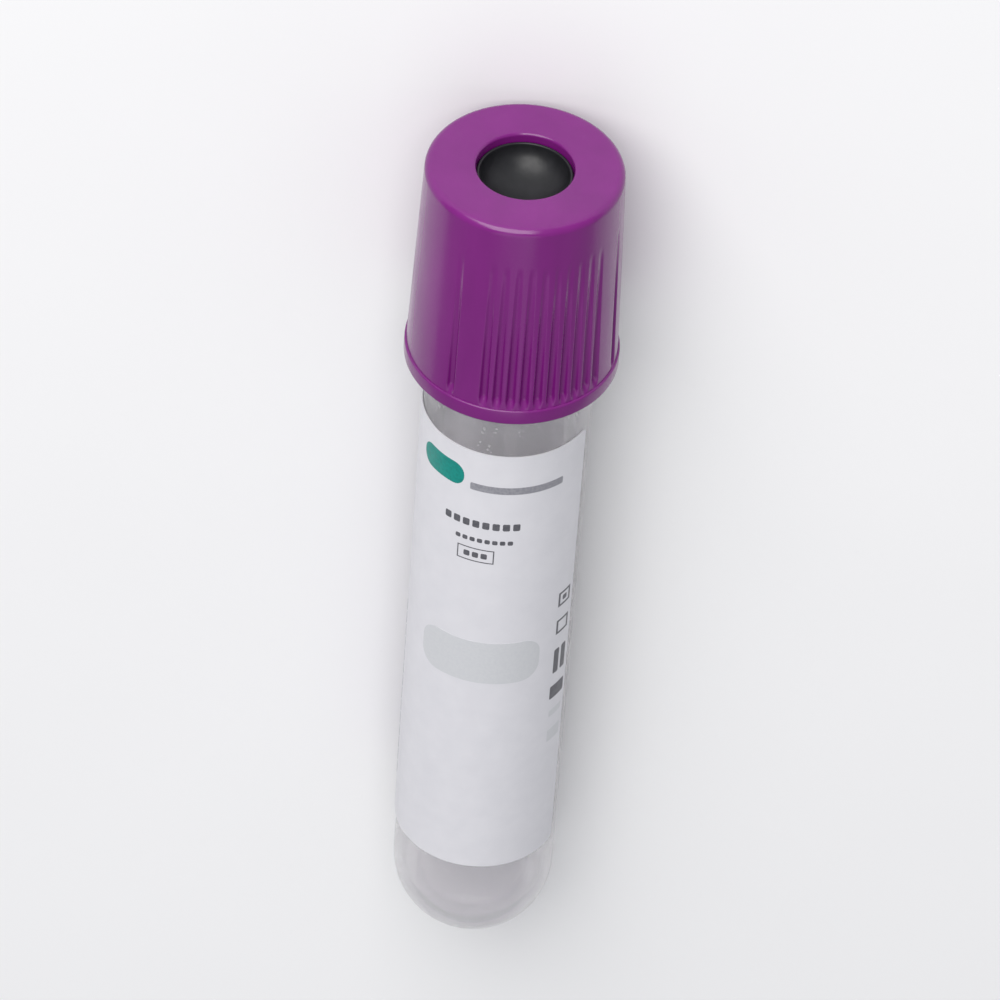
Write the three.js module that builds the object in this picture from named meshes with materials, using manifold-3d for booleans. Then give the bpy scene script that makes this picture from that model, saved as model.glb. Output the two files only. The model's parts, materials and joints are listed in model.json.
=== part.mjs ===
// A blood collection tube with its pull-off closure, lying on its side as it comes to rest.
// Units are millimetres. The tube is built upright, with the tip of its round end at 0 and its
// axis along +Z, and is laid down along +X at the end. Angles round the axis are in degrees:
// 0 is the printed front (-Y while upright, up once laid down) and they grow towards +X.

import * as THREE from 'three';
import { mergeVertices } from 'three/addons/utils/BufferGeometryUtils.js';
import Module from 'manifold-3d';

// Tube: moulded clear plastic with a round bottom.
const TUBE_LENGTH = 75;
const TUBE_DIAMETER = 13;
const TUBE_WALL = 1;
const TUBE_RIM_ROUND = 0.3;

// Label: a paper sheet that leaves a clear window along the tube.
const LABEL_HEIGHT = 45;
const LABEL_WIDTH = 22.5;
const LABEL_THICKNESS = 0.1;
const LABEL_GLUE = 0.05;
const LABEL_TO_CAP = 4.8;
const LABEL_MIDDLE_ANGLE = -29;

// Cap: a moulded shield that holds the stopper's flange and overlaps the tube's mouth.
const CAP_HEIGHT = 18.8;
const CAP_ABOVE_RIM = 5;
const CAP_TOP_WALL = 1.2;
const CAP_SHOULDER_WALL = 0.7;
const CAP_BASE_WALL = 1.2;
const CAP_TOP_ROUND = 0.6;
const CAP_HOLE_DIAMETER = 7.4;
const CAP_HOLE_ROUND = 0.25;
const CAP_LEAD_IN = 0.3;
const BEAD_HEIGHT = 1.4;
const BEAD_PROUD = 0.15;
const BEAD_ROUND = 0.25;
const BEAD_FLAT_HOLLOW = 0.01;
const SKIRT_CLEARANCE = 0.4;
const SNAP_RIDGE_HEIGHT = 0.8;
const SNAP_RIDGE_CLEARANCE = 0.1;

// Grip: grooves parallel to the axis in the tapered wall, so they run out before the top.
// Each grip zone has its ribs in the middle and a smooth panel on each side.
const GROOVE_DIAMETER = 0.6;
const GROOVE_DEPTH = 0.44;
const GROOVE_ABOVE_BEAD = 0.2;
const GRIP_ZONES = 2;
const GRIP_RIBS = 9;
const GRIP_TURN_ANGLE = 20;
const RIB_PITCH_ANGLE = 7.4;
const PANEL_ANGLE = 20;

// Stopper: rubber, with a flange on the rim, a plug in the tube and a well for the needle.
const FLANGE_OVERHANG = 0.3;
const PLUG_DEPTH = 7;
const PLUG_LEAD_IN = 0.6;
const PLUG_RECESS_DIAMETER = 5.6;
const SEPTUM_THICKNESS = 4;
const WELL_INSET = 0.15;
const WELL_DEPTH = 3.3;
const WELL_FLOOR_DISH = 1.1;
const SEAT_GAP = 0.05;

// Flats round the turned pieces. What touches the table has few, wide enough to lie still on.
const RESTING_SIDES = 24;
const CAP_SIDES = 48;

const tubeRadius = TUBE_DIAMETER / 2;
const boreRadius = tubeRadius - TUBE_WALL;
const flangeRadius = tubeRadius + FLANGE_OVERHANG;
const pocketRadius = flangeRadius + SEAT_GAP;
const skirtRadius = tubeRadius + SKIRT_CLEARANCE;
const holeRadius = CAP_HOLE_DIAMETER / 2;
const capTopRadius = pocketRadius + CAP_SHOULDER_WALL;
const capBaseRadius = skirtRadius + CAP_BASE_WALL;
const beadRadius = capBaseRadius + BEAD_PROUD;
const capTop = TUBE_LENGTH + CAP_ABOVE_RIM;
const capBottom = capTop - CAP_HEIGHT;
const beadTop = capBottom + BEAD_HEIGHT;
const flangeBottom = TUBE_LENGTH + SEAT_GAP;
const flangeTop = capTop - CAP_TOP_WALL - SEAT_GAP;

const wasm = await Module();
wasm.setup();

// Points of a circular arc in the (radius, height) half plane, both ends included.
function arc(centreR, centreZ, radius, fromAngle, toAngle, steps) {
  return Array.from({ length: steps + 1 }, (_, i) => {
    const angle = THREE.MathUtils.degToRad(THREE.MathUtils.lerp(fromAngle, toAngle, i / steps));
    return [centreR + radius * Math.cos(angle), centreZ + radius * Math.sin(angle)];
  });
}

// Turns a profile of [radius, height] points round +Z. The first column of points stands at
// startAngle in radians from the front, which puts the middle of a flat there unless stated.
function turned(profile, sides, startAngle = Math.PI / sides) {
  const points = profile.map(([r, z]) => new THREE.Vector2(Math.max(r, 0), z));
  return new THREE.LatheGeometry(points, sides, startAngle).rotateX(Math.PI / 2);
}

function solidFrom(geometry) {
  const bare = geometry.clone().deleteAttribute('normal').deleteAttribute('uv');
  const welded = mergeVertices(bare);
  return new wasm.Manifold(new wasm.Mesh({
    numProp: 3,
    vertProperties: welded.attributes.position.array,
    triVerts: new Uint32Array(welded.index.array),
  }));
}

function geometryFrom(solid) {
  const mesh = solid.getMesh();
  const geometry = new THREE.BufferGeometry();
  geometry.setAttribute('position', new THREE.BufferAttribute(mesh.vertProperties, 3));
  geometry.setIndex(new THREE.BufferAttribute(mesh.triVerts, 1));
  geometry.computeVertexNormals();
  return geometry;
}

function tubeGeometry() {
  const round = TUBE_RIM_ROUND;
  return turned([
    ...arc(0, tubeRadius, tubeRadius, -90, 0, 8),
    ...arc(tubeRadius - round, TUBE_LENGTH - round, round, 0, 90, 3),
    ...arc(boreRadius + round, TUBE_LENGTH - round, round, 90, 180, 3),
    ...arc(0, tubeRadius, boreRadius, 0, -90, 8),
  ], RESTING_SIDES);
}

function labelGeometry() {
  const inner = tubeRadius + LABEL_GLUE;
  const outer = inner + LABEL_THICKNESS;
  const middle = THREE.MathUtils.degToRad(LABEL_MIDDLE_ANGLE - 90);
  const half = LABEL_WIDTH / outer / 2;
  const sheet = new THREE.Shape();
  sheet.absarc(0, 0, outer, middle - half, middle + half, false);
  sheet.absarc(0, 0, inner, middle + half, middle - half, true);
  const curveSegments = Math.ceil(half / Math.PI * CAP_SIDES);
  const depth = LABEL_HEIGHT;
  const geometry = new THREE.ExtrudeGeometry(sheet, { depth, bevelEnabled: false, curveSegments });
  return geometry.translate(0, 0, capBottom - LABEL_TO_CAP - LABEL_HEIGHT);
}

function stopperGeometry() {
  const plugRadius = boreRadius - SEAT_GAP;
  const plugBottom = TUBE_LENGTH - PLUG_DEPTH;
  const recessRadius = PLUG_RECESS_DIAMETER / 2;
  const wellRadius = holeRadius - WELL_INSET;
  const wellBottom = flangeTop - WELL_DEPTH;
  const recessTop = wellBottom - SEPTUM_THICKNESS;
  // The well's floor is a shallow bowl: an arc through the well's edge and its middle.
  const bowlRadius = (wellRadius ** 2 + WELL_FLOOR_DISH ** 2) / (2 * WELL_FLOOR_DISH);
  const bowlAngle = THREE.MathUtils.radToDeg(Math.asin(wellRadius / bowlRadius));
  return turned([
    [0, recessTop],
    [recessRadius, recessTop],
    [recessRadius, plugBottom],
    [plugRadius - PLUG_LEAD_IN, plugBottom],
    [plugRadius, plugBottom + PLUG_LEAD_IN],
    [plugRadius, flangeBottom],
    [flangeRadius, flangeBottom],
    [flangeRadius, flangeTop],
    [wellRadius, flangeTop],
    ...arc(0, wellBottom + bowlRadius, bowlRadius, bowlAngle - 90, -90, 5),
  ], RESTING_SIDES);
}

// The cap without its bead and grooves, from the skirt's mouth up the outside and back inside.
function capShell() {
  const ridgeRadius = tubeRadius + SNAP_RIDGE_CLEARANCE;
  const ridgeTop = TUBE_LENGTH;
  const ridgeBottom = ridgeTop - SNAP_RIDGE_HEIGHT;
  return solidFrom(turned([
    [skirtRadius + CAP_LEAD_IN, capBottom],
    [capBaseRadius, capBottom],
    [capBaseRadius, beadTop],
    ...arc(capTopRadius - CAP_TOP_ROUND, capTop - CAP_TOP_ROUND, CAP_TOP_ROUND, 0, 90, 4),
    ...arc(holeRadius + CAP_HOLE_ROUND, capTop - CAP_HOLE_ROUND, CAP_HOLE_ROUND, 90, 180, 3),
    [holeRadius, capTop - CAP_TOP_WALL],
    [pocketRadius, capTop - CAP_TOP_WALL],
    [pocketRadius, ridgeTop],
    [ridgeRadius, ridgeTop],
    [ridgeRadius, ridgeBottom],
    [skirtRadius, ridgeBottom - (skirtRadius - ridgeRadius)],
    [skirtRadius, capBottom + CAP_LEAD_IN],
    [skirtRadius + CAP_LEAD_IN, capBottom],
  ], CAP_SIDES));
}

// A ring sunk into the wall and standing proud of it, with rounded edges. Its flats are a little
// hollow, so each one rests on its two edges.
function capBead() {
  const ringRadius = capBaseRadius - BEAD_ROUND;
  const profile = [
    [ringRadius, capBottom],
    ...arc(beadRadius - BEAD_ROUND, capBottom + BEAD_ROUND, BEAD_ROUND, -90, 0, 3),
    ...arc(beadRadius - BEAD_PROUD, beadTop - BEAD_PROUD, BEAD_PROUD, 0, 90, 3),
    [ringRadius, beadTop],
    [ringRadius, capBottom],
  ];
  const ring = turned(profile, 2 * RESTING_SIDES, 0);
  const corners = ring.attributes.position;
  const toMiddle = Math.cos(Math.PI / RESTING_SIDES) - BEAD_FLAT_HOLLOW / beadRadius;
  for (let i = 0; i < corners.count; i++) {
    const column = Math.floor(i / profile.length);
    if (column % 2 === 0) corners.setXY(i, corners.getX(i) * toMiddle, corners.getY(i) * toMiddle);
  }
  return solidFrom(ring);
}

// Angles of the grip's grooves: one on each side of every rib, and one past each side panel.
function grooveAngles() {
  const outermost = GRIP_RIBS / 2 * RIB_PITCH_ANGLE;
  const inZone = [-outermost - PANEL_ANGLE, outermost + PANEL_ANGLE];
  for (let i = 0; i <= GRIP_RIBS; i++) inZone.push(i * RIB_PITCH_ANGLE - outermost);
  const angles = [];
  for (let zone = 0; zone < GRIP_ZONES; zone++) {
    for (const angle of inZone) angles.push(GRIP_TURN_ANGLE + zone * 360 / GRIP_ZONES + angle);
  }
  return angles;
}

function capGeometry() {
  const grooveBottom = beadTop + GROOVE_ABOVE_BEAD;
  const grooveLength = capTop - grooveBottom;
  const grooveFloor = capBaseRadius - GROOVE_DEPTH;
  const cutterRadius = GROOVE_DIAMETER / 2;
  const cutter = new THREE.CylinderGeometry(cutterRadius, cutterRadius, grooveLength, 12)
    .rotateX(Math.PI / 2)
    .translate(0, -grooveFloor - cutterRadius, grooveBottom + grooveLength / 2);
  let cap = capShell().add(capBead());
  for (const angle of grooveAngles()) {
    const groove = cutter.clone().rotateZ(THREE.MathUtils.degToRad(angle));
    cap = cap.subtract(solidFrom(groove));
  }
  return geometryFrom(cap);
}

function piece(name, geometry, material) {
  const mesh = new THREE.Mesh(geometry, new THREE.MeshStandardMaterial(material));
  mesh.name = name;
  return mesh;
}

const clearPlastic = { color: 0xc8ccd0, roughness: 0.08, metalness: 0, transparent: true, opacity: 0.35 };
const paper = { color: 0xeeeef2, roughness: 0.5, metalness: 0 };
const rubber = { color: 0x3c4043, roughness: 0.6, metalness: 0 };
const purplePlastic = { color: 0x6b216b, roughness: 0.3, metalness: 0 };

const collectionTube = new THREE.Group();
collectionTube.add(
  piece('tube', tubeGeometry(), clearPlastic),
  piece('label', labelGeometry(), paper),
  piece('stopper', stopperGeometry(), rubber),
  piece('cap', capGeometry(), purplePlastic),
);

// Laid down along +X with the front up, it rests on the cap's bead and on the edge of the round
// bottom. The bead is wider, so the closure's end lies higher.
const restLength = capBottom + BEAD_ROUND - tubeRadius;
const restRise = (beadRadius - tubeRadius) * Math.cos(Math.PI / RESTING_SIDES);
const lieAngle = Math.atan(restRise / restLength);
collectionTube.rotation.set(0, Math.PI / 2 - lieAngle, -Math.PI / 2, 'YXZ');

// The origin is on the table, under the middle of the laid tube.
const laid = new THREE.Box3().setFromObject(collectionTube, true);
const middle = laid.getCenter(new THREE.Vector3());
collectionTube.position.set(-middle.x, -middle.y, -laid.min.z);

export default collectionTube;
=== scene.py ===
"""Looks of a blood collection tube lying on its side.

Shapes are made in millimetres in the tube's own frame and then laid into the row frame: x to the
tube's right, y away from its printed front, z along the axis from the tip of the round end.
Angles round the axis are in degrees from the printed front and grow to the right.
"""

import json
import math
import random

import bpy
from mathutils import Matrix, Vector


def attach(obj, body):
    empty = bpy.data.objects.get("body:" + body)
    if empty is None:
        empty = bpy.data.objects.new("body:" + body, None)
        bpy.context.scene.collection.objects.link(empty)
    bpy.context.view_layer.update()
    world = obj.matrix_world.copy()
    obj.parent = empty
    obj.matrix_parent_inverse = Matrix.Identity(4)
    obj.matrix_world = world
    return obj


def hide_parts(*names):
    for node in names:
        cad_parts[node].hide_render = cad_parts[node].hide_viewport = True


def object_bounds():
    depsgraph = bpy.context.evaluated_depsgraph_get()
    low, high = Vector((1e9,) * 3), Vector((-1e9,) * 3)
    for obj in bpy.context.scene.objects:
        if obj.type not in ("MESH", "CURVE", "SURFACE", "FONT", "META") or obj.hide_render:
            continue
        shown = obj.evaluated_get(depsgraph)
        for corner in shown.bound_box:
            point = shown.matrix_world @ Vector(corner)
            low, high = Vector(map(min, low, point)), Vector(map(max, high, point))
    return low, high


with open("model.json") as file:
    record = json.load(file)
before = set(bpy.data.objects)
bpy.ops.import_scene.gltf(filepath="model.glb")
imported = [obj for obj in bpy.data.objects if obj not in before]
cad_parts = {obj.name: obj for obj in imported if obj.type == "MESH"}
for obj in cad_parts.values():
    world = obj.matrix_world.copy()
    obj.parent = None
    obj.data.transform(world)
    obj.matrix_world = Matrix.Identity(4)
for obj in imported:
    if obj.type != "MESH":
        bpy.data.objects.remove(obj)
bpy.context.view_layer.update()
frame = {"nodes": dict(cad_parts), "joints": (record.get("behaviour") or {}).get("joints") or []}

MM = 0.001
SHARP_ANGLE = 50

# Tube, with the gate mark on the tip of its round end
TUBE_WALL = 1.0
TUBE_COLUMNS = 160
RIM_ROUND = 0.3
INNER_DOME_END = -86
GATE_FLAT_RADIUS = 0.63
GATE_RADIUS = 0.9
GATE_FOOT_RADIUS = 1.035
GATE_DEPTH = 0.12

# Cap
CAP_COLUMNS = 120
CAP_TOP_RADIUS = 7.55
CAP_BASE_RADIUS = 8.1
CAP_TOP_ROUND = 0.6
CAP_TOP_WALL = 1.2
HOLE_RADIUS = 3.7
HOLE_ROUND = 0.25
POCKET_RADIUS = 6.85
SKIRT_RADIUS = 6.9
RIDGE_RADIUS = 6.6
RIDGE_HEIGHT = 0.8
LEAD_IN = 0.3
BEAD_HEIGHT = 1.4
BEAD_ROUND = 0.25
BEAD_BLEND = 0.15
GROOVE_CURVE = 0.3
GROOVE_DEPTH = 0.44
GROOVE_SOFTNESS = 0.06
GROOVE_ABOVE_BEAD = 0.05
GROOVE_RUN_OUT = 0.7
GROOVE_MOUTH_SLOPE = 2
GROOVE_COLUMNS = 9
GROOVE_COLUMN_STEP = 0.35
LEAST_COLUMN_STEP = 0.2
GRIP_MIDDLES = (20, 200)
GRIP_RIBS = 9
RIB_PITCH = 7.4
PANEL = 20

# Stopper
STOPPER_COLUMNS = 128
PLUG_LEAD_IN = 0.6
RECESS_RADIUS = 2.8
RUBBER_ROUND = 0.12
SEPTUM = 4.0
WELL_DEPTH = 3.3
LIP_RADIUS = 3.65
LIP_BELOW_TOP = 0.7
BOWL_DEPTH = 2.2
SEAT_GAP = 0.05

# Label and its print
PAPER_THICKNESS = 0.1
PAPER_CORNER = 0.5
BEND_STEP = 2
INK_THICKNESS = 0.012
BLOCK_CORNER = 0.12
STRIPE_WIDTH = 2.6
STRIPE_TO_DASHES = 1.8
DASHES = 14
DASHES_BELOW = 22
DASH_PITCH = 1.4
DASH_WIDTH = 0.4
DASH_LENGTH = 1.0
SYMBOL_COLUMN = 57.5
SYMBOL_SIZE = 1.5
SYMBOL_LINE = 0.2
SYMBOL_DOT = 0.5
DOTTED_SYMBOL_BELOW = 16.3
OPEN_SYMBOL_BELOW = 19.3

# Additive dried on the inner wall
ADDITIVE_SPOTS = 150
ADDITIVE_BELOW_CAP = (1.5, 26)
ADDITIVE_CROWDING = 1.3
ADDITIVE_RADII = (0.06, 0.17)
ADDITIVE_SHRINK = (0.6, 1)
ADDITIVE_STRETCH = (0.8, 1.5)
DOME_SIDES = 8
DOME_RINGS = ((0.6, 0.45), (1, -0.05))
DOME_TOP = 0.55

# Floor and camera: VIEW_FROM_AXIS and LEAN are in degrees, the reach and the distance in metres
FLOOR_REACH = 2.0
VIEW_FROM_AXIS = 49.5
VIEW_DISTANCE = 0.54
LEAN = 4.2
LENS = 260


# ---------------------------------------------------------------- the tube's own frame

axis = Vector(frame["joints"][0]["axis"]).normalized()
front = Vector((-axis.z, 0, axis.x))
right = axis.cross(front)
tip = min((v.co for v in frame["nodes"]["tube"].data.vertices), key=axis.dot).copy()
own_axes = Matrix((right, -front, axis)).transposed().to_4x4()
laid = Matrix.Translation(tip) @ own_axes @ Matrix.Scale(MM, 4)


def measure(node):
    """A CAD node's outer radius, its ends along the tube and its ends round the tube."""
    points = [laid.inverted() @ v.co for v in frame["nodes"][node].data.vertices]
    heights = [p.z for p in points]
    angles = [math.degrees(math.atan2(p.x, -p.y)) for p in points]
    radius = max(math.hypot(p.x, p.y) for p in points)
    return radius, min(heights), max(heights), min(angles), max(angles)


tube_radius, _, rim = measure("tube")[:3]
label_radius, label_low, label_high, label_left, label_right = measure("label")
flange_radius, plug_low, flange_top = measure("stopper")[:3]
bead_radius, cap_low, cap_high = measure("cap")[:3]
bore_radius = tube_radius - TUBE_WALL


# ---------------------------------------------------------------- shapes

def spread(start, end, steps):
    return [start + (end - start) * i / steps for i in range(steps + 1)]


def arc(centre_r, centre_z, radius, start, end, steps):
    """Points of an arc in the (radius, height) half plane, both ends included."""
    turns = [math.radians(a) for a in spread(start, end, steps)]
    return [(centre_r + radius * math.cos(t), centre_z + radius * math.sin(t)) for t in turns]


def at(angle, radius, height):
    """The point at an angle from the printed front, a radius and a height."""
    turn = math.radians(angle)
    return Vector((radius * math.sin(turn), -radius * math.cos(turn), height))


def piece(name, points, faces, material, body, slot):
    """A smooth mesh in the row frame, riding on a CAD body."""
    mesh = bpy.data.meshes.new(name)
    mesh.from_pydata(points, [], faces)
    mesh.transform(laid)
    mesh.validate()
    mesh.shade_smooth()
    mesh.set_sharp_from_angle(angle=math.radians(SHARP_ANGLE))
    mesh.materials.append(material)
    obj = bpy.data.objects.new(name, mesh)
    bpy.context.scene.collection.objects.link(obj)
    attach(obj, body)
    return obj


def turned(profile, angles, radius_at=lambda angle, radius, height: radius):
    """Points and faces of a closed turned solid.

    The profile goes round the solid's section with the solid on its left, from the axis back to
    the axis, or as a ring that ends where it starts. Its heights and radii are in mm.
    """
    ring = profile[0][0] > 0
    rows = profile[:-1] if ring else profile
    points, index = [], []
    for radius, height in rows:
        if radius == 0:
            index.append([len(points)] * len(angles))
            points.append(Vector((0, 0, height)))
        else:
            index.append([len(points) + i for i in range(len(angles))])
            points += [at(a, radius_at(a, radius, height), height) for a in angles]
    faces = []
    for row in range(len(rows) if ring else len(rows) - 1):
        low, high = index[row], index[(row + 1) % len(rows)]
        for i in range(len(angles)):
            j = (i + 1) % len(angles)
            corners = [low[i], low[j], high[j], high[i]]
            faces.append([c for k, c in enumerate(corners) if c not in corners[:k]])
    return points, faces


def round_angles(columns):
    return spread(0, 360, columns)[:-1]


def tube_shape():
    gate_foot = math.degrees(GATE_FOOT_RADIUS / tube_radius) - 90
    profile = [
        (0, -GATE_DEPTH),
        (GATE_FLAT_RADIUS, -GATE_DEPTH),
        (GATE_RADIUS, -GATE_DEPTH / 2),
        *arc(0, tube_radius, tube_radius, gate_foot, 0, 32),
        *arc(tube_radius - RIM_ROUND, rim - RIM_ROUND, RIM_ROUND, 0, 90, 6),
        *arc(bore_radius + RIM_ROUND, rim - RIM_ROUND, RIM_ROUND, 90, 180, 6),
        *arc(0, tube_radius, bore_radius, 0, INNER_DOME_END, 30),
        (0, tube_radius - bore_radius),
    ]
    return turned(profile, round_angles(TUBE_COLUMNS))


def stopper_shape():
    plug_radius = bore_radius - SEAT_GAP
    flange_low = rim + SEAT_GAP
    recess_top = flange_top - WELL_DEPTH - SEPTUM
    lip_top = cap_high - LIP_BELOW_TOP
    edge = RUBBER_ROUND
    bowl_radius = LIP_RADIUS - 2 * edge
    bowl_top = lip_top - edge
    bowl = [math.radians(a) for a in spread(0, 90, 18)[1:-1]]
    profile = [
        (0, recess_top),
        (RECESS_RADIUS - edge, recess_top),
        (RECESS_RADIUS, recess_top - edge),
        *arc(RECESS_RADIUS + edge, plug_low + edge, edge, 180, 270, 4),
        *arc(plug_radius - PLUG_LEAD_IN, plug_low + PLUG_LEAD_IN, PLUG_LEAD_IN, -90, 0, 8),
        (plug_radius, flange_low),
        *arc(flange_radius - edge, flange_low + edge, edge, -90, 0, 4),
        *arc(flange_radius - edge, flange_top - edge, edge, 0, 90, 4),
        (LIP_RADIUS, flange_top),
        *arc(LIP_RADIUS - edge, bowl_top, edge, 0, 180, 8),
        *[(bowl_radius * math.cos(a), bowl_top - BOWL_DEPTH * math.sin(a)) for a in bowl],
        (0, bowl_top - BOWL_DEPTH),
    ]
    return turned(profile, round_angles(STOPPER_COLUMNS))


groove_floor = CAP_BASE_RADIUS - GROOVE_DEPTH
groove_centre = groove_floor + GROOVE_CURVE
groove_low = cap_low + BEAD_HEIGHT + GROOVE_ABOVE_BEAD
outermost = GRIP_RIBS / 2 * RIB_PITCH
grooves = sorted(
    middle + angle
    for middle in GRIP_MIDDLES
    for angle in [-outermost - PANEL, *spread(-outermost, outermost, GRIP_RIBS), outermost + PANEL]
)


def with_grooves(angle, radius, height):
    """The cap wall's radius, with the grip's grooves sunk in it and their edges softened."""
    if radius < groove_floor or height < groove_low:
        return radius
    off = math.radians(min(abs((angle - groove + 180) % 360 - 180) for groove in grooves))
    half_chord = groove_centre * math.sin(off)
    if half_chord < GROOVE_CURVE:
        floor = groove_centre * math.cos(off) - math.sqrt(GROOVE_CURVE**2 - half_chord**2)
    else:
        floor = groove_centre + (half_chord - GROOVE_CURVE) * GROOVE_MOUTH_SLOPE
    run_out = max(0, 1 - (height - groove_low) / GROOVE_RUN_OUT)
    floor += (radius - groove_floor) * run_out
    gap = (radius - floor) / GROOVE_SOFTNESS
    return radius - GROOVE_SOFTNESS * math.log1p(math.exp(gap))


def cap_angles():
    """Columns round the cap, close together across each groove."""
    angles = set(round_angles(CAP_COLUMNS))
    for groove in grooves:
        for step in range(-GROOVE_COLUMNS, GROOVE_COLUMNS + 1):
            angles.add((groove + step * GROOVE_COLUMN_STEP) % 360)
    kept = []
    for angle in sorted(angles):
        if not kept or angle - kept[-1] > LEAST_COLUMN_STEP:
            kept.append(angle)
    return kept


def cap_shape():
    bead_top = cap_low + BEAD_HEIGHT
    round_centre = cap_high - CAP_TOP_ROUND
    ridge_low = rim - RIDGE_HEIGHT
    # Rows stand close where the grooves run out, above the bead and in the upper half.
    shares = [*spread(0, 0.07, 12), *spread(0.1, 0.5, 7), *spread(0.53, 1, 20)[:-1]]
    taper = CAP_TOP_RADIUS - CAP_BASE_RADIUS
    wall = [(CAP_BASE_RADIUS + taper * t, bead_top + (round_centre - bead_top) * t) for t in shares]
    profile = [
        (SKIRT_RADIUS + LEAD_IN, cap_low),
        *arc(bead_radius - BEAD_ROUND, cap_low + BEAD_ROUND, BEAD_ROUND, -90, 0, 8),
        *arc(bead_radius - BEAD_BLEND, bead_top - BEAD_BLEND, BEAD_BLEND, 0, 82, 6),
        *wall,
        *arc(CAP_TOP_RADIUS - CAP_TOP_ROUND, round_centre, CAP_TOP_ROUND, 0, 90, 12),
        *arc(HOLE_RADIUS + HOLE_ROUND, cap_high - HOLE_ROUND, HOLE_ROUND, 90, 180, 8),
        (HOLE_RADIUS, cap_high - CAP_TOP_WALL),
        (POCKET_RADIUS, cap_high - CAP_TOP_WALL),
        (POCKET_RADIUS, rim),
        (RIDGE_RADIUS, rim),
        (RIDGE_RADIUS, ridge_low),
        (SKIRT_RADIUS, ridge_low - (SKIRT_RADIUS - RIDGE_RADIUS)),
        (SKIRT_RADIUS, cap_low + LEAD_IN),
        (SKIRT_RADIUS + LEAD_IN, cap_low),
    ]
    return turned(profile, cap_angles(), with_grooves)


def sheet_shape(left, right, low, high, inner, outer, corner=0.0):
    """A slab bent round the tube, from one angle to another, its corners rounded by corner mm."""
    reach = math.degrees(corner / outer)
    columns = spread(left, right, max(2, math.ceil((right - left) / BEND_STEP)))
    if corner:
        rounding = [reach * (1 - math.cos(math.radians(a))) for a in spread(0, 90, 6)]
        inside = [c for c in columns if left + reach < c < right - reach]
        columns = [left + r for r in rounding] + inside + [right - r for r in reversed(rounding)]
    points, faces = [], []
    for angle in columns:
        beyond = max(left + reach - angle, angle - right + reach, 0) / reach if corner else 0
        cut = corner * (1 - math.sqrt(max(0, 1 - beyond**2)))
        bottom, top = low + cut, high - cut
        section = ((inner, bottom), (outer, bottom), (outer, top), (inner, top))
        points += [at(angle, radius, height) for radius, height in section]
    for i in range(len(columns) - 1):
        for k in range(4):
            a, b = 4 * i + k, 4 * i + (k + 1) % 4
            faces.append([a, a + 4, b + 4, b])
    last = 4 * (len(columns) - 1)
    return points, faces + [[0, 1, 2, 3], [last + 3, last + 2, last + 1, last]]


def label_shape():
    ends = (label_left, label_right, label_low, label_high)
    return sheet_shape(*ends, label_radius - PAPER_THICKNESS, label_radius, PAPER_CORNER)


def joined(shapes):
    points, faces = [], []
    for shape_points, shape_faces in shapes:
        faces += [[len(points) + i for i in face] for face in shape_faces]
        points += shape_points
    return points, faces


def printed(angle, below, width, height, corner=0.0):
    """A field of ink on the label.

    The angle is its middle's, and below is how far its top edge lies below the label's.
    """
    half = math.degrees(width / 2 / label_radius)
    top = label_high - below
    inner, outer = label_radius - INK_THICKNESS, label_radius + INK_THICKNESS
    return sheet_shape(angle - half, angle + half, top - height, top, inner, outer, corner)


def row_of_blocks(angle, below, count, width, height, gap):
    """Blocks of ink side by side, centred on an angle."""
    pitch = math.degrees((width + gap) / label_radius)
    middles = [angle + pitch * (i - (count - 1) / 2) for i in range(count)]
    return [printed(middle, below, width, height, BLOCK_CORNER) for middle in middles]


def box_outline(angle, below, width, height, line):
    """A box drawn with four lines of ink."""
    side = math.degrees((width - line) / 2 / label_radius)
    inside = height - 2 * line
    return [
        printed(angle, below, width, line),
        printed(angle, below + height - line, width, line),
        printed(angle - side, below + line, line, inside),
        printed(angle + side, below + line, line, inside),
    ]


def additive_shape():
    """Small domes of dried additive, scattered over the inner wall below the cap."""
    chance = random.Random(7)
    domes = []
    for _ in range(ADDITIVE_SPOTS):
        angle = chance.uniform(0, 360)
        near, far = ADDITIVE_BELOW_CAP
        height = cap_low - near - (far - near) * chance.random() ** ADDITIVE_CROWDING
        radius = chance.uniform(*ADDITIVE_RADII) * chance.uniform(*ADDITIVE_SHRINK)
        stretch = chance.uniform(*ADDITIVE_STRETCH)
        points, faces = [at(angle, bore_radius - radius * DOME_TOP, height)], []
        for out, up in DOME_RINGS:
            for i in range(DOME_SIDES):
                turn = math.tau * i / DOME_SIDES
                along = math.degrees(radius * out * math.cos(turn) / bore_radius)
                rise = radius * out * stretch * math.sin(turn)
                points.append(at(angle + along, bore_radius - radius * up, height + rise))
        upper = [1 + i for i in range(DOME_SIDES)]
        lower = [i + DOME_SIDES for i in upper]
        for i in range(DOME_SIDES):
            j = (i + 1) % DOME_SIDES
            faces.append([0, upper[j], upper[i]])
            faces.append([upper[i], upper[j], lower[j], lower[i]])
        faces.append(lower)
        domes.append((points, faces))
    return joined(domes)


# ---------------------------------------------------------------- materials

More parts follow.
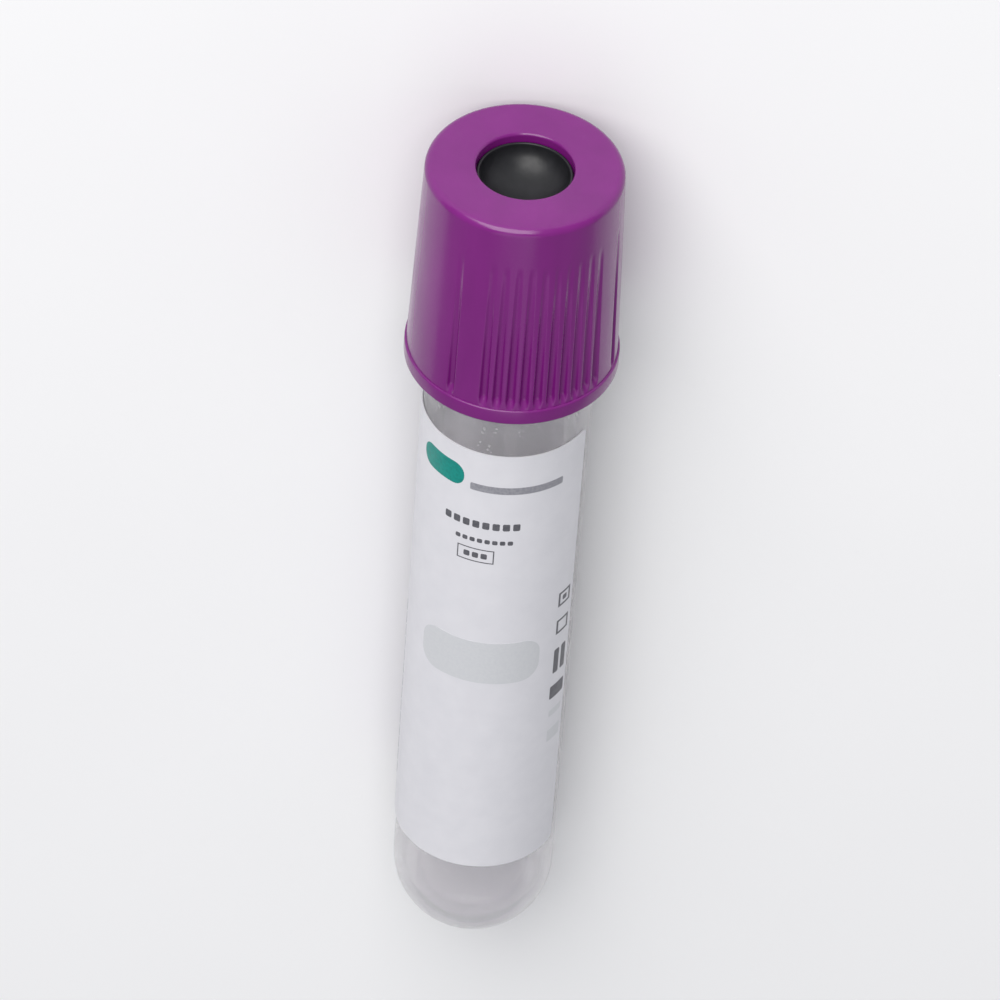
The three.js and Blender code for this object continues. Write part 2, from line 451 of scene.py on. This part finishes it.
class Look:
    """A material with one Principled shader, whose textures and relief are sized in mm."""

    def __init__(self, name, **values):
        self.material = bpy.data.materials.new(name)
        self.material.use_nodes = True
        self.tree = self.material.node_tree
        self.shader = self.tree.nodes["Principled BSDF"]
        for socket, value in values.items():
            self.shader.inputs[socket.replace("_", " ")].default_value = value
        self.coordinates = self.add("ShaderNodeTexCoord").outputs["Object"]

    def add(self, kind, **values):
        node = self.tree.nodes.new(kind)
        for socket, value in values.items():
            node.inputs[socket.replace("_", " ")].default_value = value
        return node

    def link(self, output, target):
        self.tree.links.new(output, target)

    def set(self, socket, output):
        self.link(output, self.shader.inputs[socket])

    def noise(self, size, along=1, detail=3.0, roughness=0.5):
        """Noise with features about size mm across, and longer by a factor along the tube."""
        mapping = self.add("ShaderNodeMapping", Scale=[1 / (MM * size * s) for s in (along, 1, 1)])
        self.link(self.coordinates, mapping.inputs["Vector"])
        noise = self.add("ShaderNodeTexNoise", Scale=1.0, Detail=detail, Roughness=roughness)
        self.link(mapping.outputs["Vector"], noise.inputs["Vector"])
        return noise.outputs["Fac"]

    def number(self, factor, low, high, start=0.3, end=0.7):
        """A number that goes from low to high while the factor goes from start to end."""
        limits = {"From_Min": start, "From_Max": end, "To_Min": low, "To_Max": high}
        node = self.add("ShaderNodeMapRange", **limits)
        self.link(factor, node.inputs["Value"])
        return node.outputs["Result"]

    def colour(self, factor, low, high, start=0.3, end=0.7):
        """A colour that goes from low to high while the factor goes from start to end."""
        ramp = self.add("ShaderNodeValToRGB")
        for element, place, colour in zip(ramp.color_ramp.elements, (start, end), (low, high)):
            element.position = place
            element.color = (*colour, 1)
        self.link(factor, ramp.inputs["Fac"])
        return ramp.outputs["Color"]

    def bump(self, height, depth, after=None):
        """Relief of depth mm from a height from 0 to 1, over an earlier relief if given."""
        node = self.add("ShaderNodeBump", Strength=1.0, Distance=depth * MM)
        self.link(height, node.inputs["Height"])
        if after is not None:
            self.link(after, node.inputs["Normal"])
        return node.outputs["Normal"]


def clear_plastic():
    look = Look("clear_plastic", IOR=1.5, Transmission_Weight=0.79, Alpha=0.6)
    flow = look.noise(6.0, along=5)
    # The faint purple tint of the base colour is a painted reflection of the purple cap; the flow
    # noise gives uneven tone in the plastic.
    look.set("Base Color", look.colour(flow, (0.93, 0.9, 0.935), (0.98, 0.96, 0.985)))
    look.set("Roughness", look.number(look.noise(3.0, along=4), 0.015, 0.05))
    look.set("Normal", look.bump(look.noise(5.0, along=6, detail=1.0), 0.008))
    return look.material


def paper():
    look = Look("label_paper", IOR=1.48, Specular_IOR_Level=0.4)
    clouds = look.noise(1.6, detail=5.0)
    # The paper's base colour is greyer than white paper: painted shade, standing in for the shade on
    # a label that faces sideways to the light. The clouds noise gives the paper's mottling.
    look.set("Base Color", look.colour(clouds, (0.69, 0.686, 0.722), (0.72, 0.715, 0.75)))
    look.set("Roughness", look.number(look.noise(0.6), 0.38, 0.52))
    waves = look.bump(look.noise(5.0), 0.005)
    look.set("Normal", look.bump(look.noise(0.2, along=3), 0.003, waves))
    return look.material


def ink(name, colour, darker):
    look = Look(name, IOR=1.5, Specular_IOR_Level=0.3)
    look.set("Base Color", look.colour(look.noise(0.25, detail=5.0), darker, colour, 0.35, 0.6))
    look.set("Roughness", look.number(look.noise(0.5), 0.3, 0.45))
    look.set("Normal", look.bump(look.noise(0.1), 0.004))
    return look.material


def cap_plastic():
    look = Look("cap_plastic", IOR=1.5)
    flow = look.noise(5.0, along=3, roughness=0.55)
    look.set("Base Color", look.colour(flow, (0.158, 0.0065, 0.156), (0.188, 0.0095, 0.184)))
    look.set("Roughness", look.number(look.noise(1.5, along=3, detail=4.0), 0.17, 0.27))
    grain = look.bump(look.noise(0.3, detail=2.0), 0.0012)
    look.set("Normal", look.bump(look.noise(3.5, along=2, detail=2.0), 0.012, grain))
    return look.material


def rubber():
    look = Look("stopper_rubber", IOR=1.5, Specular_IOR_Level=0.38)
    clouds = look.noise(1.2, detail=5.0)
    dark, light = (0.009, 0.0095, 0.011), (0.014, 0.0145, 0.017)
    look.set("Base Color", look.colour(clouds, dark, light, 0.35, 0.7))
    look.set("Roughness", look.number(look.noise(0.7), 0.34, 0.48))
    waves = look.bump(look.noise(2.2), 0.04)
    look.set("Normal", look.bump(look.noise(0.3), 0.006, waves))
    return look.material


def additive():
    look = Look("additive", IOR=1.45, Transmission_Weight=0.35)
    look.set("Base Color", look.colour(look.noise(0.2), (0.82, 0.83, 0.85), (0.97, 0.97, 0.98)))
    look.set("Roughness", look.number(look.noise(0.1), 0.15, 0.4))
    return look.material


def floor_board():
    look = Look("floor_board", IOR=1.4, Specular_IOR_Level=0.2)
    look.set("Base Color", look.colour(look.noise(60.0), (0.885, 0.885, 0.89), (0.905, 0.905, 0.91)))
    look.set("Roughness", look.number(look.noise(20.0), 0.6, 0.75))
    return look.material


# ---------------------------------------------------------------- the label's print

label_height = label_high - label_low
stripe_middle = label_left + math.degrees(STRIPE_WIDTH / 2 / label_radius)
stripe = printed(stripe_middle, below=0, width=STRIPE_WIDTH, height=label_height)

teal_field = printed(-44.5, below=1.8, width=4.4, height=2.2, corner=1.0)

dash_column = label_left + math.degrees((STRIPE_WIDTH + STRIPE_TO_DASHES) / label_radius)
dash_places = [DASHES_BELOW + DASH_PITCH * i for i in range(DASHES)]
grey_fields = [
    printed(12, below=3.2, width=7.6, height=0.7, corner=BLOCK_CORNER),
    *[printed(dash_column, below, DASH_WIDTH, DASH_LENGTH, BLOCK_CORNER) for below in dash_places],
]

dot_inset = (SYMBOL_SIZE - SYMBOL_DOT) / 2
black_fields = [
    *row_of_blocks(-11.5, below=7.05, count=8, width=0.56, height=0.7, gap=0.24),
    *row_of_blocks(-9, below=8.85, count=8, width=0.42, height=0.42, gap=0.18),
    *box_outline(-14, below=9.95, width=3.0, height=1.4, line=0.09),
    *row_of_blocks(-14, below=10.38, count=3, width=0.5, height=0.54, gap=0.2),
    *box_outline(SYMBOL_COLUMN, DOTTED_SYMBOL_BELOW, SYMBOL_SIZE, SYMBOL_SIZE, SYMBOL_LINE),
    printed(SYMBOL_COLUMN, DOTTED_SYMBOL_BELOW + dot_inset, SYMBOL_DOT, SYMBOL_DOT, BLOCK_CORNER),
    *box_outline(SYMBOL_COLUMN, OPEN_SYMBOL_BELOW, SYMBOL_SIZE, SYMBOL_SIZE, SYMBOL_LINE),
    *row_of_blocks(SYMBOL_COLUMN, below=22.5, count=2, width=0.6, height=2.6, gap=0.3),
    printed(SYMBOL_COLUMN, below=26.5, width=1.8, height=1.4, corner=BLOCK_CORNER),
]
pale_fields = [
    printed(-7, below=19.9, width=10.2, height=4.4, corner=1.6),
    printed(SYMBOL_COLUMN, below=29.2, width=1.6, height=0.7, corner=BLOCK_CORNER),
    printed(SYMBOL_COLUMN, below=31.4, width=1.6, height=1.3, corner=BLOCK_CORNER),
]


# ---------------------------------------------------------------- the pieces

tube = piece("clear_tube", *tube_shape(), clear_plastic(), "tube", "clear_plastic")
stopper = piece("rubber_stopper", *stopper_shape(), rubber(), "closure", "stopper_rubber")
cap = piece("ribbed_cap", *cap_shape(), cap_plastic(), "closure", "cap_plastic")
label = piece("paper_label", *label_shape(), paper(), "tube", "label_paper")
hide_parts("tube")
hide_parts("stopper")
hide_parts("cap")
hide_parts("label")

violet = ink("violet_ink", (0.085, 0.018, 0.19), darker=(0.06, 0.012, 0.14))
teal = ink("teal_ink", (0.004, 0.26, 0.22), darker=(0.003, 0.21, 0.18))
grey = ink("grey_ink", (0.31, 0.31, 0.34), darker=(0.25, 0.25, 0.28))
black = ink("black_ink", (0.125, 0.125, 0.14), darker=(0.09, 0.09, 0.105))
pale = ink("pale_ink", (0.615, 0.625, 0.645), darker=(0.595, 0.605, 0.63))
piece("violet_stripe", *stripe, violet, "tube", "label_paper")
piece("teal_mark", *teal_field, teal, "tube", "label_paper")
piece("grey_fields", *joined(grey_fields), grey, "tube", "label_paper")
piece("black_fields", *joined(black_fields), black, "tube", "label_paper")
piece("pale_field", *joined(pale_fields), pale, "tube", "label_paper")
piece("dried_additive", *additive_shape(), additive(), "tube", "clear_plastic")


# ---------------------------------------------------------------- floor, light and camera

scene = bpy.context.scene
scene.view_settings.view_transform = "Standard"

floor_mesh = bpy.data.meshes.new("floor")
corners = [(x * FLOOR_REACH, y * FLOOR_REACH, 0) for x, y in ((-1, -1), (1, -1), (1, 1), (-1, 1))]
floor_mesh.from_pydata(corners, [], [(0, 1, 2, 3)])
floor_mesh.materials.append(floor_board())
floor = bpy.data.objects.new("floor", floor_mesh)
floor.location.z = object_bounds()[0][2]
scene.collection.objects.link(floor)

scene.world = scene.world or bpy.data.worlds.new("studio")
scene.world.use_nodes = True
sky = scene.world.node_tree.nodes["Background"]
sky.inputs["Color"].default_value = (0.93, 0.95, 1.0, 1)
sky.inputs["Strength"].default_value = 0.38

aim = laid @ Vector((0, 0, (cap_high + label_low) / 2))


def facing(obj, position, target, up):
    """Puts obj at a position, looking at a target, with up upwards in its view."""
    back = (position - target).normalized()
    side = up.cross(back).normalized()
    aimed = Matrix((side, back.cross(side), back)).transposed().to_4x4()
    obj.matrix_world = Matrix.Translation(position) @ aimed


def softbox(name, along, up, sideways, distance, size, power, colour):
    """A soft light, in a direction given by its parts along the axis, out of the front and to the
    right, and shining on the middle of what the camera shows.
    """
    light = bpy.data.lights.new(name, "AREA")
    light.shape = "RECTANGLE"
    light.size, light.size_y = size
    light.energy = power
    light.color = colour
    obj = bpy.data.objects.new(name, light)
    scene.collection.objects.link(obj)
    towards = (axis * along + front * up + right * sideways).normalized()
    facing(obj, aim + towards * distance, aim, front)


softbox(
    "key", along=0.8, up=0.56, sideways=-0.2, distance=0.75,
    size=(0.6, 0.75), power=6.6, colour=(1, 0.985, 0.97),
)
softbox(
    "top", along=-0.25, up=0.96, sideways=-0.05, distance=0.9,
    size=(0.7, 0.7), power=1.0, colour=(0.97, 0.98, 1),
)

view = math.radians(VIEW_FROM_AXIS)
towards_camera = axis * math.cos(view) + front * math.sin(view)
camera_data = bpy.data.cameras.new("camera")
camera_data.lens = LENS
camera_data.clip_start = 0.01
camera = bpy.data.objects.new("camera", camera_data)
scene.collection.objects.link(camera)
cap_top = laid @ Vector((0, 0, cap_high))
image_up = Matrix.Rotation(math.radians(LEAN), 3, towards_camera) @ axis
facing(camera, cap_top + towards_camera * VIEW_DISTANCE, aim, image_up)
scene.camera = camera
